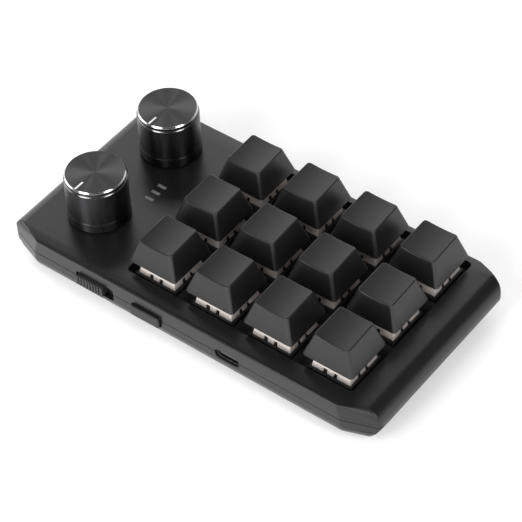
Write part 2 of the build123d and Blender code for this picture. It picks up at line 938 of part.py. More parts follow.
def make_button_cap():
    front = port_wall - control_protrusion
    flange_front = port_wall_inside + flange_gap
    cap = side_rounded_block(
        button_length, button_height, button_edge_radius, front, flange_front, button_x, button_z
    )
    cap = chamfer(cap.faces().sort_by(Axis.Y)[0].edges(), button_edge_bevel)
    flange_length = button_length + 2 * (button_gap + button_flange_side)
    flange_height = button_height + 2 * (button_gap + button_flange_lip)
    return cap + side_block(
        flange_length, flange_height, flange_front, flange_front + flange_thickness, button_x, button_z
    )


def make_button_plunger():
    z = board_top + button_switch_height / 2
    back = plunger_front() + plunger_depth
    return side_block(plunger_length, plunger_height, plunger_front(), back, button_x, z)


def make_button_switch():
    z = board_top + button_switch_height / 2
    front = port_wall + board_port_setback
    back = front + button_switch_depth
    body = side_block(button_switch_length, button_switch_height, front, back, button_x, z)
    body -= side_block(
        plunger_length + plunger_gap,
        plunger_height + plunger_gap,
        front,
        plunger_front() + plunger_depth + button_travel + plunger_gap,
        button_x,
        z,
    )
    return body


# USB-C receptacle: stamped shell with the tongue in it
def usb_corner_radius():
    return (usb_height - usb_side_flat) / 2


def make_usb():
    z = board_top + usb_height / 2
    front = port_wall + usb_setback
    back = front + usb_depth
    shell = side_rounded_block(usb_width, usb_height, usb_corner_radius(), front, back, usb_x, z)
    inner_width = usb_width - 2 * usb_shell
    inner_height = usb_height - 2 * usb_shell
    inner_radius = usb_corner_radius() - usb_shell
    shell -= side_rounded_block(
        inner_width, inner_height, inner_radius, front, back - usb_shell, usb_x, z
    )
    tongue = side_block(tongue_width, tongue_thickness, front + usb_shell, back, usb_x, z)
    return shell + tongue


# Battery on its foam tape
def battery_low():
    return floor_top + tape_thickness


def make_battery():
    cell = block(
        battery_length, battery_width, battery_low(), battery_low() + battery_height, battery_x, battery_y
    )
    return fillet(cell.edges().filter_by(Axis.Y), battery_edge_radius)


def make_battery_tape():
    return block(tape_length, tape_width, floor_top, battery_low(), battery_x, battery_y)


# Screws from below and rubber feet
def make_screw():
    seat = case_bottom + head_recess_depth
    head_low = seat - screw_head_height
    screw = post(screw_head_radius, head_low, seat)
    return screw + many_sided_post(screw_radius, seat, seat + screw_length)


def make_foot():
    foot = post(foot_radius, 0, case_bottom + foot_seat_depth)
    return chamfer(foot.edges().group_by(Axis.Z)[0], foot_bevel)


def placed(piece, places):
    return [Pos(x, y, 0) * piece for x, y in places]


def save(node, pieces):
    shape = Compound(children=list(pieces)) if isinstance(pieces, list) else pieces
    export_step(shape, f"parts/{node}.step")


os.makedirs("parts", exist_ok=True)

save("top_case", make_top_case())
save("bottom_case", make_bottom_case())

keycap = make_keycap()
stem = make_stem()
for number, (x, y) in enumerate(key_places(), start=1):
    save(f"keycap_{number:02d}", Pos(x, y, 0) * keycap)
    save(f"switch_stem_{number:02d}", Pos(x, y, 0) * stem)
save("switch_springs", placed(make_spring(), key_places()))
save("switch_bases", placed(make_switch_base(), key_places()))
save("switch_tops", placed(make_switch_top(), key_places()))
save("switch_contacts", [Pos(x, y, 0) * leaf for x, y in key_places() for leaf in make_contacts()])

save("encoder_bases", placed(make_encoder_base(), dial_places))
save("encoder_frames", placed(make_encoder_frame(), dial_places))
save("encoder_domes", placed(make_encoder_dome(), dial_places))
for number, (x, y) in enumerate(dial_places, start=1):
    save(f"encoder_rotor_{number}", Pos(x, y, 0) * make_encoder_rotor())
    save(f"encoder_shaft_{number}", Pos(x, y, 0) * make_encoder_shaft())
    save(f"knob_{number}", Pos(x, y, 0) * make_knob())
    save(f"knob_core_{number}", Pos(x, y, 0) * make_knob_core())

save("light_pipe", make_light_pipe())
save("main_pcb", make_board())
save("board_components", make_board_components())
save("slide_switch_cap", make_slide_cap())
save("slide_switch_actuator", make_slide_actuator())
save("slide_switch_frame", make_slide_frame())
save("side_button_cap", make_button_cap())
save("side_button_plunger", make_button_plunger())
save("side_button_switch", make_button_switch())
save("usb_c_receptacle", make_usb())
save("battery", make_battery())
save("battery_tape", make_battery_tape())
save("case_screws", placed(make_screw(), screw_places()))
save("rubber_feet", placed(make_foot(), foot_places()))
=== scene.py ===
import bmesh
import bpy
import math
from mathutils import Matrix, Vector


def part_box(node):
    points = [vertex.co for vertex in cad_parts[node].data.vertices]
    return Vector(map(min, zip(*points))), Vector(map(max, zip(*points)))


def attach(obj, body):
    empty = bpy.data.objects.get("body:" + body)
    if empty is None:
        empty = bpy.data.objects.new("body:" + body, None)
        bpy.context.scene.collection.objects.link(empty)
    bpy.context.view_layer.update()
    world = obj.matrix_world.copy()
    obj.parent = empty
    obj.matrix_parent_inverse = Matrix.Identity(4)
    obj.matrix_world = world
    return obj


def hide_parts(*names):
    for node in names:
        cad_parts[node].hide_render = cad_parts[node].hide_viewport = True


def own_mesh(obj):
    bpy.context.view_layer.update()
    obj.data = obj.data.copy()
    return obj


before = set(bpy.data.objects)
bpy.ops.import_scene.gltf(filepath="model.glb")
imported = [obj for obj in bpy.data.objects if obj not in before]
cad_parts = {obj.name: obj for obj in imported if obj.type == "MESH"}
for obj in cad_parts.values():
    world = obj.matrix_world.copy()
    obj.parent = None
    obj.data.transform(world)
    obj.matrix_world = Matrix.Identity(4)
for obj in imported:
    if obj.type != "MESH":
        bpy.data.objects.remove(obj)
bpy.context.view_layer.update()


# Lower shell. One black ABS moulding with a finely sparked surface, a lip along both long sides that enters
# the upper shell, and stands for the board. Its ends run in below the seam, and its lower edges are widely
# rounded.
SHELL_BLACK = (0.0100, 0.0100, 0.0104, 1.0)
SHELL_ROUGHNESS = 0.26
SHELL_SHARP_ANGLE = 28.0
SEAM_HEIGHT = 0.0093
SEAM_HALF_WIDTH = 0.00016
SEAM_DEPTH = 0.0006
LOWER_CORNER_SPAN = (0.0012, 0.0062)
LOWER_CORNER_ROUNDING = 0.0011


def node_group(name, inputs, outputs):
    """A shader node group with its named sockets, and its input and output nodes."""
    group = bpy.data.node_groups.new(name, "ShaderNodeTree")
    for label, kind, value in inputs:
        group.interface.new_socket(label, in_out="INPUT", socket_type=kind).default_value = value
    for label, kind in outputs:
        group.interface.new_socket(label, in_out="OUTPUT", socket_type=kind)
    return group, group.nodes.new("NodeGroupInput"), group.nodes.new("NodeGroupOutput")


def math_node(tree, operation, first, second, clamp=False):
    """A Math node whose two inputs are sockets or numbers."""
    node = tree.nodes.new("ShaderNodeMath")
    node.operation = operation
    node.use_clamp = clamp
    for place, value in enumerate((first, second)):
        if isinstance(value, (int, float)):
            node.inputs[place].default_value = value
        else:
            tree.links.new(value, node.inputs[place])
    return node.outputs[0]


def noise_node(tree, coordinates, scale, detail):
    """A noise texture's value at a scale in waves per metre."""
    node = tree.nodes.new("ShaderNodeTexNoise")
    node.inputs["Detail"].default_value = detail
    if isinstance(scale, (int, float)):
        node.inputs["Scale"].default_value = scale
    else:
        tree.links.new(scale, node.inputs["Scale"])
    tree.links.new(coordinates, node.inputs["Vector"])
    return node.outputs["Fac"]


# Waves per metre of the grain and of the slow unevenness, and how much they change roughness and colour
GRAIN_SCALE = 5000.0
GRAIN_ROUGHENING = 0.06
SLOW_WAVES = 90.0
SLOW_LIGHTENING = 0.25


def build_surface_grain():
    """Fine grain and slow unevenness of a moulded or cast surface: colour, roughness and height."""
    group, start, end = node_group(
        "surface_grain",
        [
            ("Colour", "NodeSocketColor", (0.5, 0.5, 0.5, 1.0)),
            ("Roughness", "NodeSocketFloat", 0.4),
            ("Grain Scale", "NodeSocketFloat", GRAIN_SCALE),
            ("Unevenness", "NodeSocketFloat", 0.05),
        ],
        [("Colour", "NodeSocketColor"), ("Roughness", "NodeSocketFloat"), ("Height", "NodeSocketFloat")],
    )
    place = group.nodes.new("ShaderNodeTexCoord").outputs["Object"]
    grain = noise_node(group, place, start.outputs["Grain Scale"], detail=2.0)
    slow = noise_node(group, place, SLOW_WAVES, detail=3.0)
    swing = math_node(group, "SUBTRACT", slow, 0.5)
    spread = math_node(group, "MULTIPLY", swing, start.outputs["Unevenness"])
    rough = math_node(group, "ADD", start.outputs["Roughness"], spread, clamp=True)
    grained = math_node(group, "MULTIPLY", math_node(group, "SUBTRACT", grain, 0.5), GRAIN_ROUGHENING)
    rough = math_node(group, "ADD", rough, grained, clamp=True)
    lighten = math_node(group, "ADD", math_node(group, "MULTIPLY", swing, SLOW_LIGHTENING), 1.0)
    colour = group.nodes.new("ShaderNodeVectorMath")
    colour.operation = "SCALE"
    group.links.new(start.outputs["Colour"], colour.inputs[0])
    group.links.new(lighten, colour.inputs["Scale"])
    group.links.new(colour.outputs[0], end.inputs["Colour"])
    group.links.new(rough, end.inputs["Roughness"])
    group.links.new(grain, end.inputs["Height"])
    return group


# How fast the mask of edge wear and painted highlight rises at an edge, and the waves per metre and least
# share of the noise in it
WEAR_AND_SHEEN_SAMPLES = 6
WEAR_AND_SHEEN_STEEPNESS = 6.0
WEAR_AND_SHEEN_WAVES = 700.0
WEAR_AND_SHEEN_LEAST = 0.3


def build_edge_wear_and_sheen():
    """1 on outside edges and 0 on flats, broken up by noise: handling wears edges first, and the lighter
    colour mixed in by it is also a painted highlight.
    """
    group, start, end = node_group(
        "edge_wear_and_sheen",
        [("Radius", "NodeSocketFloat", 0.0003), ("Amount", "NodeSocketFloat", 1.0)],
        [("Mask", "NodeSocketFloat"), ("Normal", "NodeSocketVector")],
    )
    bevel = group.nodes.new("ShaderNodeBevel")
    bevel.samples = WEAR_AND_SHEEN_SAMPLES
    group.links.new(start.outputs["Radius"], bevel.inputs["Radius"])
    geometry = group.nodes.new("ShaderNodeNewGeometry")
    along = group.nodes.new("ShaderNodeVectorMath")
    along.operation = "DOT_PRODUCT"
    group.links.new(bevel.outputs["Normal"], along.inputs[0])
    group.links.new(geometry.outputs["Normal"], along.inputs[1])
    turned = math_node(group, "SUBTRACT", 1.0, along.outputs["Value"])
    strong = math_node(group, "MULTIPLY", turned, WEAR_AND_SHEEN_STEEPNESS, clamp=True)
    place = group.nodes.new("ShaderNodeTexCoord").outputs["Object"]
    patchy = noise_node(group, place, WEAR_AND_SHEEN_WAVES, detail=3.0)
    broken = math_node(group, "ADD", patchy, WEAR_AND_SHEEN_LEAST, clamp=True)
    mask = math_node(group, "MULTIPLY", strong, broken, clamp=True)
    mask = math_node(group, "MULTIPLY", mask, start.outputs["Amount"], clamp=True)
    group.links.new(mask, end.inputs["Mask"])
    group.links.new(bevel.outputs["Normal"], end.inputs["Normal"])
    return group


surface_grain = build_surface_grain()
edge_wear_and_sheen = build_edge_wear_and_sheen()
GRAIN_DEPTH = 0.00002
# How much lighter edges are painted, partly for wear and partly as a painted highlight
WORN_AND_SHEEN_LIGHTER = 1.5


def finish(name, colour, roughness, grain_scale=GRAIN_SCALE, grain_depth=GRAIN_DEPTH, unevenness=0.05,
           edge_radius=0.00015, edge_colour=None, edge_amount=0.5, **shader_values):
    """A Principled material over the grain and edge groups, with constant values on its own sockets."""
    material = bpy.data.materials.new(name)
    material.use_nodes = True
    tree = material.node_tree
    shader = tree.nodes["Principled BSDF"]
    for label, value in shader_values.items():
        shader.inputs[label.replace("_", " ")].default_value = value
    grain = tree.nodes.new("ShaderNodeGroup")
    grain.node_tree = surface_grain
    grain.inputs["Colour"].default_value = colour
    grain.inputs["Roughness"].default_value = roughness
    grain.inputs["Grain Scale"].default_value = grain_scale
    grain.inputs["Unevenness"].default_value = unevenness
    edges = tree.nodes.new("ShaderNodeGroup")
    edges.node_tree = edge_wear_and_sheen
    edges.inputs["Radius"].default_value = edge_radius
    edges.inputs["Amount"].default_value = edge_amount
    mix = tree.nodes.new("ShaderNodeMix")
    mix.data_type = "RGBA"
    tree.links.new(edges.outputs["Mask"], mix.inputs["Factor"])
    tree.links.new(grain.outputs["Colour"], mix.inputs["A"])
    # Edges are painted lighter by the mask: partly wear, partly a painted highlight.
    worn_and_sheen_colour = tuple(min(1.0, WORN_AND_SHEEN_LIGHTER * c) for c in colour[:3]) + (1.0,)
    mix.inputs["B"].default_value = edge_colour or worn_and_sheen_colour
    bump = tree.nodes.new("ShaderNodeBump")
    bump.inputs["Strength"].default_value = 1.0
    bump.inputs["Distance"].default_value = grain_depth
    tree.links.new(grain.outputs["Height"], bump.inputs["Height"])
    tree.links.new(edges.outputs["Normal"], bump.inputs["Normal"])
    tree.links.new(mix.outputs["Result"], shader.inputs["Base Color"])
    tree.links.new(grain.outputs["Roughness"], shader.inputs["Roughness"])
    tree.links.new(bump.outputs["Normal"], shader.inputs["Normal"])
    return material


def coat(node, material):
    """Gives a CAD node's slots one material."""
    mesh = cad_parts[node].data
    mesh.materials.clear()
    mesh.materials.append(material)


# How near two corners count as one, and within what angle neighbouring triangles make one flat face
JOIN_DISTANCE = 0.000002
SAME_PLANE = math.radians(0.6)


def joined_copy(node):
    """A bmesh of a CAD node with its loose triangles joined and its flat faces made whole."""
    form = bmesh.new()
    form.from_mesh(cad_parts[node].data)
    bmesh.ops.remove_doubles(form, verts=form.verts, dist=JOIN_DISTANCE)
    bmesh.ops.dissolve_limit(
        form, angle_limit=SAME_PLANE, use_dissolve_boundaries=False, verts=form.verts, edges=form.edges
    )
    return form


def piece(name, form, materials, body, replaced=(), sharp_angle=30.0):
    """Turns a bmesh into an object that rides on a body, smooth except at edges sharper than the angle."""
    for face in form.faces:
        face.smooth = True
    for edge in form.edges:
        edge.smooth = edge.is_manifold and edge.calc_face_angle(math.pi) < math.radians(sharp_angle)
    mesh = bpy.data.meshes.new(name)
    form.to_mesh(mesh)
    form.free()
    for material in materials:
        mesh.materials.append(material)
    thing = bpy.data.objects.new(name, mesh)
    bpy.context.scene.collection.objects.link(thing)
    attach(thing, body)
    if replaced:
        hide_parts(*replaced)
    return thing


def keep_flats_flat(thing):
    """Weights a piece's normals by face area, so that big flat faces shade flat beside roundings."""
    weigh = thing.modifiers.new("flat faces", "WEIGHTED_NORMAL")
    weigh.mode = "FACE_AREA"
    weigh.keep_sharp = True


def soften(form, edges, offset, segments, clamped=True):
    """Rounds some edges of a bmesh."""
    return bmesh.ops.bevel(
        form, geom=edges, offset=offset, offset_type="OFFSET", affect="EDGES", segments=segments,
        profile=0.5, material=-1, clamp_overlap=clamped,
    )


# How near two heights count as one, the upright part of the normal of a level face and of a wall, and how
# far out from the middle of the case an outside wall stands at least
SAME_HEIGHT = 0.00002
LEVEL = 0.99
UPRIGHT = 0.8
OUTSIDE = 0.02


def outer_edges(form, height):
    """The edges of a shell's outside wall at a height, where it turns into the level joint face."""
    found = []
    for edge in form.edges:
        off_height = any(abs(vertex.co.z - height) > SAME_HEIGHT for vertex in edge.verts)
        if off_height or len(edge.link_faces) != 2:
            continue
        wall, joint = sorted(edge.link_faces, key=lambda face: abs(face.normal.z))
        middle = (edge.verts[0].co + edge.verts[1].co) / 2
        outward = wall.normal.x * middle.x + wall.normal.y * middle.y
        if abs(joint.normal.z) > LEVEL and abs(wall.normal.z) < UPRIGHT and outward > OUTSIDE:
            found.append(edge)
    return found


# Heights off the joint that part the seam's inner, middle and outer edge lines, as shares of its half width
SEAM_INNER = 0.05
SEAM_OUTER = 0.8


def open_seam(form):
    """Sets a shell's outer joint edge back, so that half of a fine shadow groove runs round it."""
    made = soften(form, outer_edges(form, SEAM_HEIGHT), SEAM_HALF_WIDTH, segments=2)
    reach = SEAM_DEPTH / SEAM_HALF_WIDTH
    low_limit, high_limit = SEAM_INNER * SEAM_HALF_WIDTH, SEAM_OUTER * SEAM_HALF_WIDTH
    for middle in made["verts"]:
        rise = abs(middle.co.z - SEAM_HEIGHT)
        if rise < low_limit or rise > high_limit:
            continue
        ring = [edge.other_vert(middle) for edge in middle.link_edges]
        inner = [vertex for vertex in ring if abs(vertex.co.z - SEAM_HEIGHT) < low_limit]
        outer = [vertex for vertex in ring if abs(vertex.co.z - SEAM_HEIGHT) > high_limit]
        if len(inner) == 1 and len(outer) == 1:
            back = (inner[0].co - outer[0].co) * reach
            inner[0].co.x, inner[0].co.y = outer[0].co.x + back.x, outer[0].co.y + back.y
            middle.co = (inner[0].co.x, inner[0].co.y, outer[0].co.z)


# How far along X the corners start, how sharp their edges are, and the sideways parts of the normals that
# tell a straight end from a slanted corner
CORNER_START = 0.0645
CORNER_CONVEX = math.radians(30.0)
STRAIGHT_ACROSS = 0.03
TURNED = 0.25


def corner_edges(form, low, high):
    """The sharp edges between a shell's end, which runs straight across, and its slanted corners."""
    found = []
    for edge in form.edges:
        heights = [vertex.co.z for vertex in edge.verts]
        if len(edge.link_faces) != 2 or min(heights) < low or max(heights) > high:
            continue
        if abs(edge.verts[0].co.x) < CORNER_START or edge.calc_face_angle_signed(0.0) < CORNER_CONVEX:
            continue
        end, slant = sorted(edge.link_faces, key=lambda face: abs(face.normal.y))
        if abs(end.normal.y) < STRAIGHT_ACROSS and abs(slant.normal.y) > TURNED:
            if abs(end.normal.x) > TURNED and slant.normal.x * edge.verts[0].co.x > 0:
                found.append(edge)
    return found


shell_plastic = finish("satin_shell_black", SHELL_BLACK, SHELL_ROUGHNESS, unevenness=0.04, edge_amount=0.35)
lower_form = joined_copy("bottom_case")
lower_corners = corner_edges(lower_form, *LOWER_CORNER_SPAN)
soften(lower_form, lower_corners, LOWER_CORNER_ROUNDING, segments=3, clamped=False)
open_seam(lower_form)
lower_shell = piece(
    "lower_shell", lower_form, [shell_plastic], "case", ["bottom_case"], SHELL_SHARP_ANGLE
)
keep_flats_flat(lower_shell)


# Rubber feet. Four moulded discs of black rubber, stuck into shallow round seats in the lower shell. Their
# faces are matt and slightly dusty from the desk.
RUBBER_BLACK = (0.012, 0.012, 0.012, 1.0)
foot_rubber = finish("foot_rubber", RUBBER_BLACK, roughness=0.75, grain_scale=2500.0, unevenness=0.12)
coat("rubber_feet", foot_rubber)


# Battery and tape. A silver pouch cell with rounded edges lies between ribs on the floor, held by a pad of
# double-sided foam tape.
POUCH_SILVER = (0.55, 0.55, 0.56, 1.0)
FOAM_WHITE = (0.72, 0.72, 0.70, 1.0)
pouch_foil = finish(
    "pouch_foil", POUCH_SILVER, roughness=0.35, grain_scale=900.0, grain_depth=0.00008, Metallic=0.9
)
foam_tape = finish("foam_tape", FOAM_WHITE, roughness=0.9, grain_scale=1800.0, grain_depth=0.0001)
coat("battery", pouch_foil)
coat("battery_tape", foam_tape)


# Circuit board. Glass-fibre sheet under black solder mask, with a controller, memory, radio, crystal,
# charger and battery socket soldered on, and three lamps under the indicator bars.
MASK_BLACK = (0.010, 0.016, 0.014, 1.0)
CHIP_BLACK = (0.018, 0.018, 0.019, 1.0)
solder_mask = finish("solder_mask", MASK_BLACK, roughness=0.28, grain_scale=3000.0, Coat_Weight=0.4)
chip_resin = finish("chip_resin", CHIP_BLACK, roughness=0.55, grain_scale=6000.0)
coat("main_pcb", solder_mask)
coat("board_components", chip_resin)


# USB-C receptacle. A drawn steel shell with the contact tongue inside, soldered to the board's edge so that
# its mouth stands just behind the wall. Its nickel plating is darkened as painted shade, for the shade
# inside the opening.
# Nickel plating darkened as painted shade, for the shade behind the wall.
SHADED_PLATING = (0.24, 0.24, 0.235, 1.0)
shaded_nickel = finish(
    "shaded_nickel", SHADED_PLATING, roughness=0.30, unevenness=0.1, edge_amount=0.2, Metallic=1.0
)
coat("usb_c_receptacle", shaded_nickel)


# Slide switch. A ribbed ABS cap stands on a nylon actuator, which slides in a folded frame of bright plated
# steel on the board.
NYLON_BLACK = (0.014, 0.014, 0.014, 1.0)
RIBBED_BLACK = (0.026, 0.026, 0.0265, 1.0)
PLATED_STEEL = (0.62, 0.61, 0.59, 1.0)
nylon = finish("black_nylon", NYLON_BLACK, roughness=0.5, grain_scale=3000.0)
ribbed_black = finish("ribbed_cap_black", RIBBED_BLACK, roughness=0.42, edge_radius=0.0002)
plated_steel = finish(
    "plated_steel", PLATED_STEEL, roughness=0.24, grain_scale=1500.0, unevenness=0.1, Metallic=1.0
)
coat("slide_switch_cap", ribbed_black)
coat("slide_switch_actuator", nylon)
coat("slide_switch_frame", plated_steel)


# Side push button. An ABS cap with bevelled edges is held by its own flange behind the wall, and presses
# the white plunger of a small side-acting switch.
SWITCH_WHITE = (0.70, 0.70, 0.68, 1.0)
BUTTON_BLACK = (0.0095, 0.0095, 0.0098, 1.0)
white_resin = finish("white_resin", SWITCH_WHITE, roughness=0.45)
button_black = finish("button_black", BUTTON_BLACK, roughness=0.40, edge_radius=0.0002, edge_amount=0.4)
coat("side_button_cap", button_black)
coat("side_button_plunger", white_resin)
coat("side_button_switch", nylon)


# Light pipe. Three bars of milky acetal on one comb, pressed up through slots in the roof, so that each
# bar carries one lamp's light to the top.
PIPE_MILK = (0.26, 0.26, 0.255, 1.0)
milky_bars = finish(
    "milky_bars", PIPE_MILK, roughness=0.35, grain_scale=1500.0, Subsurface_Weight=0.2,
    Subsurface_Scale=0.0008,
)
coat("light_pipe", milky_bars)


# Dial encoders. Nylon bases soldered to the board, steel brackets with the bushings of the shafts, a click
# dome under each shaft, and white rotors that turn with the bare aluminium shafts.
BARE_ALUMINIUM = (0.72, 0.72, 0.73, 1.0)
bare_aluminium = finish(
    "turned_aluminium", BARE_ALUMINIUM, roughness=0.3, grain_scale=2500.0, Metallic=1.0
)
coat("encoder_bases", nylon)
coat("encoder_frames", plated_steel)
coat("encoder_domes", plated_steel)
for number in (1, 2):
    coat(f"encoder_rotor_{number}", white_resin)
    coat(f"encoder_shaft_{number}", bare_aluminium)


# Key switches, lower parts. Each nylon base is clipped into the well floor, carries two brass leaves, and
# takes the brown slider that the spring lifts.
BRASS = (0.62, 0.43, 0.20, 1.0)
STEM_BROWN = (0.10, 0.040, 0.020, 1.0)
KEY_NUMBERS = range(1, 13)
leaf_brass = finish("leaf_brass", BRASS, roughness=0.3, Metallic=1.0)
stem_resin = finish("stem_acetal", STEM_BROWN, roughness=0.35)
coat("switch_bases", nylon)
coat("switch_contacts", leaf_brass)
for number in KEY_NUMBERS:
    coat(f"switch_stem_{number:02d}", stem_resin)


# Switch springs. Each is wound from 0.35 mm steel wire, sits round the pole of the slider, and shortens by
# the key's 4 mm of travel when the key goes down; the coils here are built at rest and ride on the case.
WIRE_RADIUS = 0.000175
SPRING_TURNS = 8
STEPS_PER_TURN = 18
WIRE_SIDES = 8
WIRE_SHARP_ANGLE = 60.0
WIRE_STEEL = (0.66, 0.66, 0.67, 1.0)
spring_wire = finish("spring_wire", WIRE_STEEL, roughness=0.25, edge_amount=0.0, Metallic=1.0)
spring_low, spring_high = (corner.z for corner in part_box("switch_springs"))
key_centres = []
for number in KEY_NUMBERS:
    low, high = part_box(f"keycap_{number:02d}")
    key_centres.append((low + high) / 2)
spring_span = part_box("switch_springs")
spring_radius = (key_centres[0].x - spring_span[0].x) - WIRE_RADIUS
for number, centre in enumerate(key_centres, start=1):
    wire = bmesh.new()
    ring = bmesh.ops.create_circle(wire, cap_ends=False, segments=WIRE_SIDES, radius=WIRE_RADIUS)["verts"]
    bmesh.ops.rotate(wire, verts=ring, cent=(0, 0, 0), matrix=Matrix.Rotation(math.pi / 2, 3, "X"))
    start = Vector((centre.x + spring_radius, centre.y, spring_low + WIRE_RADIUS))
    bmesh.ops.translate(wire, verts=ring, vec=start)
    rise = (spring_high - spring_low - 2 * WIRE_RADIUS) / (SPRING_TURNS * STEPS_PER_TURN)
    bmesh.ops.spin(
        wire, geom=wire.verts[:] + wire.edges[:], cent=(centre.x, centre.y, 0), axis=(0, 0, 1),
        dvec=(0, 0, rise), angle=2 * math.pi * SPRING_TURNS, steps=SPRING_TURNS * STEPS_PER_TURN,
        use_merge=False, use_duplicate=False,
    )
    bmesh.ops.holes_fill(wire, edges=[edge for edge in wire.edges if edge.is_boundary], sides=WIRE_SIDES)
    bmesh.ops.recalc_face_normals(wire, faces=wire.faces)
    replaced = ["switch_springs"] if number == 1 else []
    coil = piece(
        f"switch_spring_{number:02d}", wire, [spring_wire], "case", replaced,
        WIRE_SHARP_ANGLE,
    )
    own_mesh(coil)


# Key switches, upper housings. Milky polycarbonate covers snap over the bases; their lower edge has the
# notches for the latches, and the slider's cross stands through the top.
COVER_ROUNDING = 0.00016
COVER_CONVEX = math.radians(40.0)
COVER_SHARP_ANGLE = 35.0
MILKY = (0.80, 0.735, 0.685, 1.0)
# Near white painted on the covers' outside edges as a painted highlight.
MILKY_EDGE_HIGHLIGHT = (1.0, 0.98, 0.96, 1.0)
milky_resin = finish(
    "milky_polycarbonate", MILKY, roughness=0.24, grain_scale=2000.0, edge_radius=0.00012,
    edge_colour=MILKY_EDGE_HIGHLIGHT, IOR=1.58,
)
covers = joined_copy("switch_tops")
outside = [
    edge for edge in covers.edges
    if len(edge.link_faces) == 2 and edge.calc_face_angle_signed(0.0) > COVER_CONVEX
]
soften(covers, outside, COVER_ROUNDING, segments=2)
piece("switch_covers", covers, [milky_resin], "case", ["switch_tops"], COVER_SHARP_ANGLE)


# Upper shell. The second ABS moulding, with round shoulders at the ends, slanted corners, a narrow rounding
# along both long sides, and the key well with a square hole for every switch.
UPPER_CORNER_SPAN = (0.0100, 0.0153)
UPPER_CORNER_ROUNDING = 0.00045
LONG_EDGE_LOW = 0.0125
LONG_EDGE_SLOPE = 0.6
LONG_EDGE_ROUNDING = 0.0005
upper_form = joined_copy("top_case")
upper_corners = corner_edges(upper_form, *UPPER_CORNER_SPAN)
soften(upper_form, upper_corners, UPPER_CORNER_ROUNDING, segments=3, clamped=False)
open_seam(upper_form)
long_edges = []
for edge in upper_form.edges:
    if len(edge.link_faces) != 2 or min(vertex.co.z for vertex in edge.verts) < LONG_EDGE_LOW:
        continue
    wall, roof = sorted(edge.link_faces, key=lambda face: face.normal.z)
    faces_out = abs(wall.normal.y) > LONG_EDGE_SLOPE and wall.normal.y * edge.verts[0].co.y > 0
    if faces_out and wall.normal.z < LONG_EDGE_SLOPE < roof.normal.z:
        long_edges.append(edge)
soften(upper_form, long_edges, LONG_EDGE_ROUNDING, segments=3)
upper_shell = piece(
    "upper_shell", upper_form, [shell_plastic], "case", ["top_case"], SHELL_SHARP_ANGLE
)
keep_flats_flat(upper_shell)


# Case screws. Six black self-tapping screws with pan heads and cross recesses pull the lower shell up
# to the bosses of the upper one, from below.
CROSS_ARM = 0.0010
CROSS_HALF_WIDTH = 0.00028
CROSS_DEPTH = 0.0009
CROSS_TAPER = 0.55
CROSS_CORNERS = (
    (CROSS_ARM, -CROSS_HALF_WIDTH), (CROSS_ARM, CROSS_HALF_WIDTH), (CROSS_HALF_WIDTH, CROSS_HALF_WIDTH)
)
BLACKENED = (0.045, 0.045, 0.047, 1.0)
screw_black = finish("blackened_screw", BLACKENED, roughness=0.36, Metallic=0.9)
screws = joined_copy("case_screws")
head_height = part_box("case_screws")[0].z
heads = []
for face in screws.faces:
    if face.normal.z < -LEVEL and abs(face.calc_center_median().z - head_height) < SAME_HEIGHT:
        heads.append(face)
for head in heads:
    centre = head.calc_center_bounds()
    rim = head.edges[:]
    bmesh.ops.delete(screws, geom=[head], context="FACES_ONLY")
    outline = []
    for quarter in range(4):
        turn = Matrix.Rotation(quarter * math.pi / 2, 3, "Z")
        for x, y in CROSS_CORNERS:
            outline.append(screws.verts.new(centre + turn @ Vector((x, y, 0))))
    cross = [screws.edges.new(pair) for pair in zip(outline, outline[1:] + outline[:1])]
    down = (0, 0, -1)
    bmesh.ops.triangle_fill(screws, use_beauty=True, use_dissolve=False, edges=rim + cross, normal=down)
    walls = bmesh.ops.extrude_edge_only(screws, edges=cross)["geom"]
    deep = [part for part in walls if isinstance(part, bmesh.types.BMVert)]
    bmesh.ops.scale(
        screws, vec=(CROSS_TAPER, CROSS_TAPER, 1.0), verts=deep, space=Matrix.Translation(-centre)
    )
    bmesh.ops.translate(screws, vec=(0, 0, CROSS_DEPTH), verts=deep)
    sunk = [part for part in walls if isinstance(part, bmesh.types.BMEdge)]
    sunk = [edge for edge in sunk if all(vertex in deep for vertex in edge.verts)]
    bmesh.ops.triangle_fill(screws, use_beauty=True, use_dissolve=False, edges=sunk, normal=down)
bmesh.ops.recalc_face_normals(screws, faces=screws.faces)
piece("cross_head_screws", screws, [screw_black], "case", ["case_screws"])


# Keycaps. Twelve blank ABS caps with dished tops, drafted sides and softly rounded edges, each pressed on
# the cross of its switch.
CAP_BLACK = (0.0120, 0.0120, 0.0125, 1.0)
CAP_ROUGHNESS = 0.32
CAP_RIM_ROUNDING = 0.00035
CAP_TOP_SLOPE = 0.85
CAP_SIDE_SLOPE = 0.7
CAP_SHARP_ANGLE = 35.0
cap_plastic = finish(
    "keycap_black", CAP_BLACK, CAP_ROUGHNESS, grain_scale=4000.0, grain_depth=0.00003, edge_amount=0.3
)


def rim_edges(form, middle):
    """The edges above a height between the dished top and the sides."""
    rim = []
    for edge in form.edges:
        if len(edge.link_faces) != 2:
            continue
        slopes = sorted(face.normal.z for face in edge.link_faces)
        height = (edge.verts[0].co.z + edge.verts[1].co.z) / 2
        if height > middle and slopes[1] > CAP_TOP_SLOPE and slopes[0] < CAP_SIDE_SLOPE:
            rim.append(edge)
    return rim


for number in KEY_NUMBERS:
    node = f"keycap_{number:02d}"
    low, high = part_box(node)
    cap = joined_copy(node)
    soften(cap, rim_edges(cap, (low.z + high.z) / 2), CAP_RIM_ROUNDING, segments=3)
    blank_cap = piece(
        f"blank_{node}", cap, [cap_plastic], f"key_{number:02d}", [node], CAP_SHARP_ANGLE
    )
    keep_flats_flat(blank_cap)


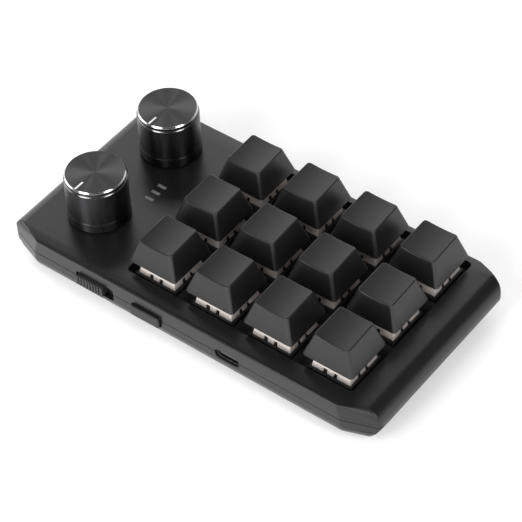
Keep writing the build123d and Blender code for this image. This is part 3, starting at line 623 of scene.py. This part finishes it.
# Knobs. Each is turned from aluminium and anodised black, with a spun top, a bright cut rim, a polished
# step below its collar and a white pointer let into the top; a nylon core grips the flatted shaft. The spun
# top is painted lighter than the side as painted light, and the polished step lighter still as a painted
# highlight.
ANODISED_BLACK = (0.048, 0.048, 0.050, 1.0)
# The side's anodised black, painted lighter as painted light on the lit top
SPUN_BLACK_PAINTED_LIT = (0.078, 0.078, 0.080, 1.0)
# The same anodised black, painted lighter still as a painted highlight on the step below the collar
POLISHED_BLACK_PAINTED_HIGHLIGHT = (0.15, 0.15, 0.152, 1.0)
CUT_ALUMINIUM = (0.62, 0.62, 0.63, 1.0)
POINTER_WHITE = (0.88, 0.88, 0.87, 1.0)
KNOB_STEPS = 128
KNOB_WALL = 0.0015
FOOT_INSET = 0.0003
FOOT_ROOM = 0.00008
FOOT_BAND = 0.0034
SIDE_INSET = 0.0001
COLLAR_LOW = 0.0019
COLLAR_INSET = 0.0004
RIM_HEIGHT = 0.0005
RIM_INSET = 0.0008
FACE_SINK = 0.00003
POINTER_LENGTH = 0.0037
POINTER_WIDTH = 0.00065
POINTER_DEPTH = 0.00025
POINTER_ANGLE = 269.0
KNOB_TOP_SLOPE = 0.9
KNOB_CUT_SLOPE = 0.3
KNOB_SHARP_ANGLE = 12.0
SPUN_JOIN_DISTANCE = 0.000001


def turned_finish(name, colour, roughness):
    """Anodised metal whose lathe marks run round the upright axis and spread the highlights across them."""
    material = finish(
        name, colour, roughness, edge_amount=0.0, Metallic=1.0, Anisotropic=1.0, Anisotropic_Rotation=0.25
    )
    tree = material.node_tree
    tangent = tree.nodes.new("ShaderNodeTangent")
    tangent.direction_type = "RADIAL"
    tangent.axis = "Z"
    tree.links.new(tangent.outputs["Tangent"], tree.nodes["Principled BSDF"].inputs["Tangent"])
    return material


anodised_side = turned_finish("anodised_side", ANODISED_BLACK, roughness=0.28)
anodised_top_painted_lit = turned_finish("anodised_spun_top_painted_lit", SPUN_BLACK_PAINTED_LIT, roughness=0.34)
cut_rim = finish("diamond_cut_rim", CUT_ALUMINIUM, roughness=0.06, edge_amount=0.0, Metallic=1.0)
polished_black_painted_highlight = finish("anodised_step_painted_highlight", POLISHED_BLACK_PAINTED_HIGHLIGHT, roughness=0.08, edge_amount=0.0, Metallic=1.0)
pointer_paint = finish("pointer_white", POINTER_WHITE, roughness=0.5, edge_amount=0.0)
for number in (1, 2):
    low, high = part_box(f"knob_{number}")
    centre = (low + high) / 2
    radius = (high.x - low.x) / 2
    side, collar = radius - SIDE_INSET, radius - COLLAR_INSET
    foot, top = low.z + FOOT_ROOM, high.z - FACE_SINK
    # Radius and height of the profile, from the middle of the bore's end round to the middle of the top
    profile = [
        (0.0, high.z - KNOB_WALL),
        (radius - KNOB_WALL, high.z - KNOB_WALL),
        (radius - KNOB_WALL, foot),
        (radius - FOOT_INSET, foot),
        (radius, foot + FOOT_INSET),
        (radius, foot + FOOT_BAND),
        (side, foot + FOOT_BAND + SIDE_INSET),
        (side, high.z - COLLAR_LOW),
        (collar, high.z - COLLAR_LOW + COLLAR_INSET - SIDE_INSET),
        (collar, high.z - RIM_HEIGHT),
        (radius - RIM_INSET, top),
        (0.0, top),
    ]
    knob = bmesh.new()
    points = [knob.verts.new((centre.x + r, centre.y, z)) for r, z in profile]
    edges = [knob.edges.new(pair) for pair in zip(points, points[1:])]
    bmesh.ops.spin(
        knob, geom=points + edges, cent=(centre.x, centre.y, 0), axis=(0, 0, 1), dvec=(0, 0, 0),
        angle=2 * math.pi, steps=KNOB_STEPS, use_merge=True, use_duplicate=False,
    )
    bmesh.ops.remove_doubles(knob, verts=knob.verts, dist=SPUN_JOIN_DISTANCE)
    bmesh.ops.recalc_face_normals(knob, faces=knob.faces)
    knob_finishes = [anodised_side, cut_rim, anodised_top_painted_lit, polished_black_painted_highlight]
    for face in knob.faces:
        height = face.calc_center_median().z
        if face.normal.z > KNOB_TOP_SLOPE:
            face.material_index = knob_finishes.index(anodised_top_painted_lit)
        elif face.normal.z > KNOB_CUT_SLOPE and height > high.z - RIM_HEIGHT:
            face.material_index = knob_finishes.index(cut_rim)
        elif face.normal.z > KNOB_CUT_SLOPE and height > high.z - COLLAR_LOW:
            face.material_index = knob_finishes.index(polished_black_painted_highlight)
    piece(
        f"turned_knob_{number}", knob, knob_finishes, f"dial_{number}", [f"knob_{number}"],
        KNOB_SHARP_ANGLE,
    )
    coat(f"knob_core_{number}", nylon)

    pointer = bmesh.new()
    bmesh.ops.create_cube(pointer, size=1.0)
    bmesh.ops.scale(pointer, vec=(POINTER_LENGTH, POINTER_WIDTH, POINTER_DEPTH), verts=pointer.verts)
    reach = radius - RIM_INSET - POINTER_LENGTH / 2
    bmesh.ops.translate(pointer, vec=(reach, 0, high.z - POINTER_DEPTH / 2), verts=pointer.verts)
    pointing = Matrix.Rotation(math.radians(POINTER_ANGLE), 3, "Z")
    bmesh.ops.rotate(pointer, verts=pointer.verts, cent=(0, 0, 0), matrix=pointing)
    bmesh.ops.translate(pointer, vec=(centre.x, centre.y, 0), verts=pointer.verts)
    piece(f"knob_pointer_{number}", pointer, [pointer_paint], f"dial_{number}")


# Studio. A wide pale paper floor, clear from below, in a room that is bright at the horizon and dim
# overhead. A broad panel behind lights the flat tops, five low ones the sides, two small boxes the turned
# rims, and a weak panel overhead the rest.
FLOOR_HALF_SIZE = 6.0
FLOOR_PALE = (0.90, 0.90, 0.90, 1.0)
FLOOR_ROUGHNESS = 0.9
FLOOR_GLOSS = 0.1
FLOOR_LIFT = 0.32
FLOOR_MIRRORED = 0.08
ROOM_BRIGHT = (1.0, 1.0, 1.0, 1.0)
ROOM_DIM = (0.10, 0.10, 0.10, 1.0)
ROOM_BRIGHT_BELOW = 0.10
ROOM_DIM_ABOVE = 0.45
LOOK_AT = Vector((0.0, 0.0, 0.012))


def seen_rays(tree):
    """1 for camera, mirror and glass rays, which see the paper white, and 0 for the light it gives back."""
    path = tree.nodes.new("ShaderNodeLightPath")
    seen = math_node(tree, "MAXIMUM", path.outputs["Is Camera Ray"], path.outputs["Is Glossy Ray"])
    return math_node(tree, "MAXIMUM", seen, path.outputs["Is Transmission Ray"])


floor_form = bmesh.new()
bmesh.ops.create_grid(floor_form, x_segments=1, y_segments=1, size=FLOOR_HALF_SIZE)
floor_mesh = bpy.data.meshes.new("studio_floor")
floor_form.to_mesh(floor_mesh)
floor_form.free()
floor = bpy.data.objects.new("studio_floor", floor_mesh)
bpy.context.scene.collection.objects.link(floor)
floor_paint = bpy.data.materials.new("floor_paper")
floor_paint.use_nodes = True
floor_tree = floor_paint.node_tree
floor_shader = floor_tree.nodes["Principled BSDF"]
floor_shader.inputs["Base Color"].default_value = FLOOR_PALE
floor_shader.inputs["Roughness"].default_value = FLOOR_ROUGHNESS
floor_shader.inputs["Specular IOR Level"].default_value = FLOOR_GLOSS
floor_shader.inputs["Emission Color"].default_value = (1.0, 1.0, 1.0, 1.0)
floor_seen = math_node(floor_tree, "MULTIPLY", seen_rays(floor_tree), FLOOR_LIFT)
floor_path = floor_tree.nodes.new("ShaderNodeLightPath")
floor_mirrored = math_node(floor_tree, "MULTIPLY", floor_path.outputs["Is Glossy Ray"], FLOOR_MIRRORED)
floor_lift = math_node(floor_tree, "ADD", floor_seen, floor_mirrored)
floor_tree.links.new(floor_lift, floor_shader.inputs["Emission Strength"])
floor_side = floor_tree.nodes.new("ShaderNodeNewGeometry").outputs["Backfacing"]
floor_tree.links.new(math_node(floor_tree, "SUBTRACT", 1.0, floor_side), floor_shader.inputs["Alpha"])
floor_mesh.materials.append(floor_paint)

world = bpy.data.worlds.new("studio")
bpy.context.scene.world = world
world.use_nodes = True
room_tree = world.node_tree
room = room_tree.nodes["Background"]
direction = room_tree.nodes.new("ShaderNodeTexCoord")
split = room_tree.nodes.new("ShaderNodeSeparateXYZ")
room_tree.links.new(direction.outputs["Generated"], split.inputs[0])
fall = room_tree.nodes.new("ShaderNodeMapRange")
fall.interpolation_type = "SMOOTHSTEP"
fall.inputs["From Min"].default_value = ROOM_BRIGHT_BELOW
fall.inputs["From Max"].default_value = ROOM_DIM_ABOVE
room_tree.links.new(split.outputs["Z"], fall.inputs["Value"])
room_mix = room_tree.nodes.new("ShaderNodeMix")
room_mix.data_type = "RGBA"
room_mix.inputs["A"].default_value = ROOM_BRIGHT
room_mix.inputs["B"].default_value = ROOM_DIM
room_tree.links.new(fall.outputs["Result"], room_mix.inputs["Factor"])
room_tree.links.new(room_mix.outputs["Result"], room.inputs["Color"])


def soft_panel(name, azimuth, elevation, distance, width, height, radiance):
    """A rectangular area lamp seen from the object at an azimuth from +Y towards -X and an elevation."""
    lamp = bpy.data.lights.new(name, "AREA")
    lamp.shape = "RECTANGLE"
    lamp.size = width
    lamp.size_y = height
    lamp.energy = radiance * math.pi * width * height
    thing = bpy.data.objects.new(name, lamp)
    bpy.context.scene.collection.objects.link(thing)
    turn, rise = math.radians(azimuth), math.radians(elevation)
    away = Vector((-math.sin(turn) * math.cos(rise), math.cos(turn) * math.cos(rise), math.sin(rise)))
    thing.location = LOOK_AT + distance * away
    thing.rotation_euler = away.to_track_quat("Z", "Y").to_euler()


# Azimuth and elevation in degrees, distance, width and height in metres, and radiance
soft_panel("back_panel", 39.0, 31.0, 1.6, 3.0, 1.12, 1.5)
soft_panel("front_strip", 175.0, 13.0, 1.3, 0.42, 0.56, 8.0)
soft_panel("front_panel", 206.0, 13.0, 1.3, 0.62, 0.56, 1.8)
soft_panel("corner_panel", 241.0, 13.0, 1.3, 0.50, 0.56, 1.4)
soft_panel("right_strip", 274.0, 13.0, 1.3, 0.30, 0.56, 1.2)
soft_panel("left_panel", 115.0, 14.0, 1.3, 0.9, 0.56, 2.2)
soft_panel("front_box", 172.0, 40.0, 1.0, 0.40, 0.36, 7.0)
soft_panel("right_box", 262.0, 42.0, 1.0, 0.30, 0.36, 7.0)
soft_panel("overhead", 219.0, 76.0, 1.5, 1.0, 1.0, 0.9)


# Camera. A long lens on the camera's side of the keypad, at the photograph's azimuth, elevation and roll.
CAMERA_AZIMUTH = 39.155
CAMERA_ELEVATION = 46.301
CAMERA_ROLL = -2.795
CAMERA_PLACE = (0.30897, -0.37613, 0.51886)
LENS_MM = 155.59
SENSOR_MM = 36.0
SEEN_AS_FAR_AS = 50.0
camera_data = bpy.data.cameras.new("photo_camera")
camera_data.lens = LENS_MM
camera_data.sensor_width = SENSOR_MM
camera_data.clip_end = SEEN_AS_FAR_AS
camera = bpy.data.objects.new("photo_camera", camera_data)
bpy.context.scene.collection.objects.link(camera)
camera.matrix_world = (
    Matrix.Translation(CAMERA_PLACE)
    @ Matrix.Rotation(math.radians(CAMERA_AZIMUTH), 4, "Z")
    @ Matrix.Rotation(math.radians(90.0 - CAMERA_ELEVATION), 4, "X")
    @ Matrix.Rotation(math.radians(CAMERA_ROLL), 4, "Z")
)
bpy.context.scene.camera = camera
bpy.context.scene.view_settings.view_transform = "Standard"
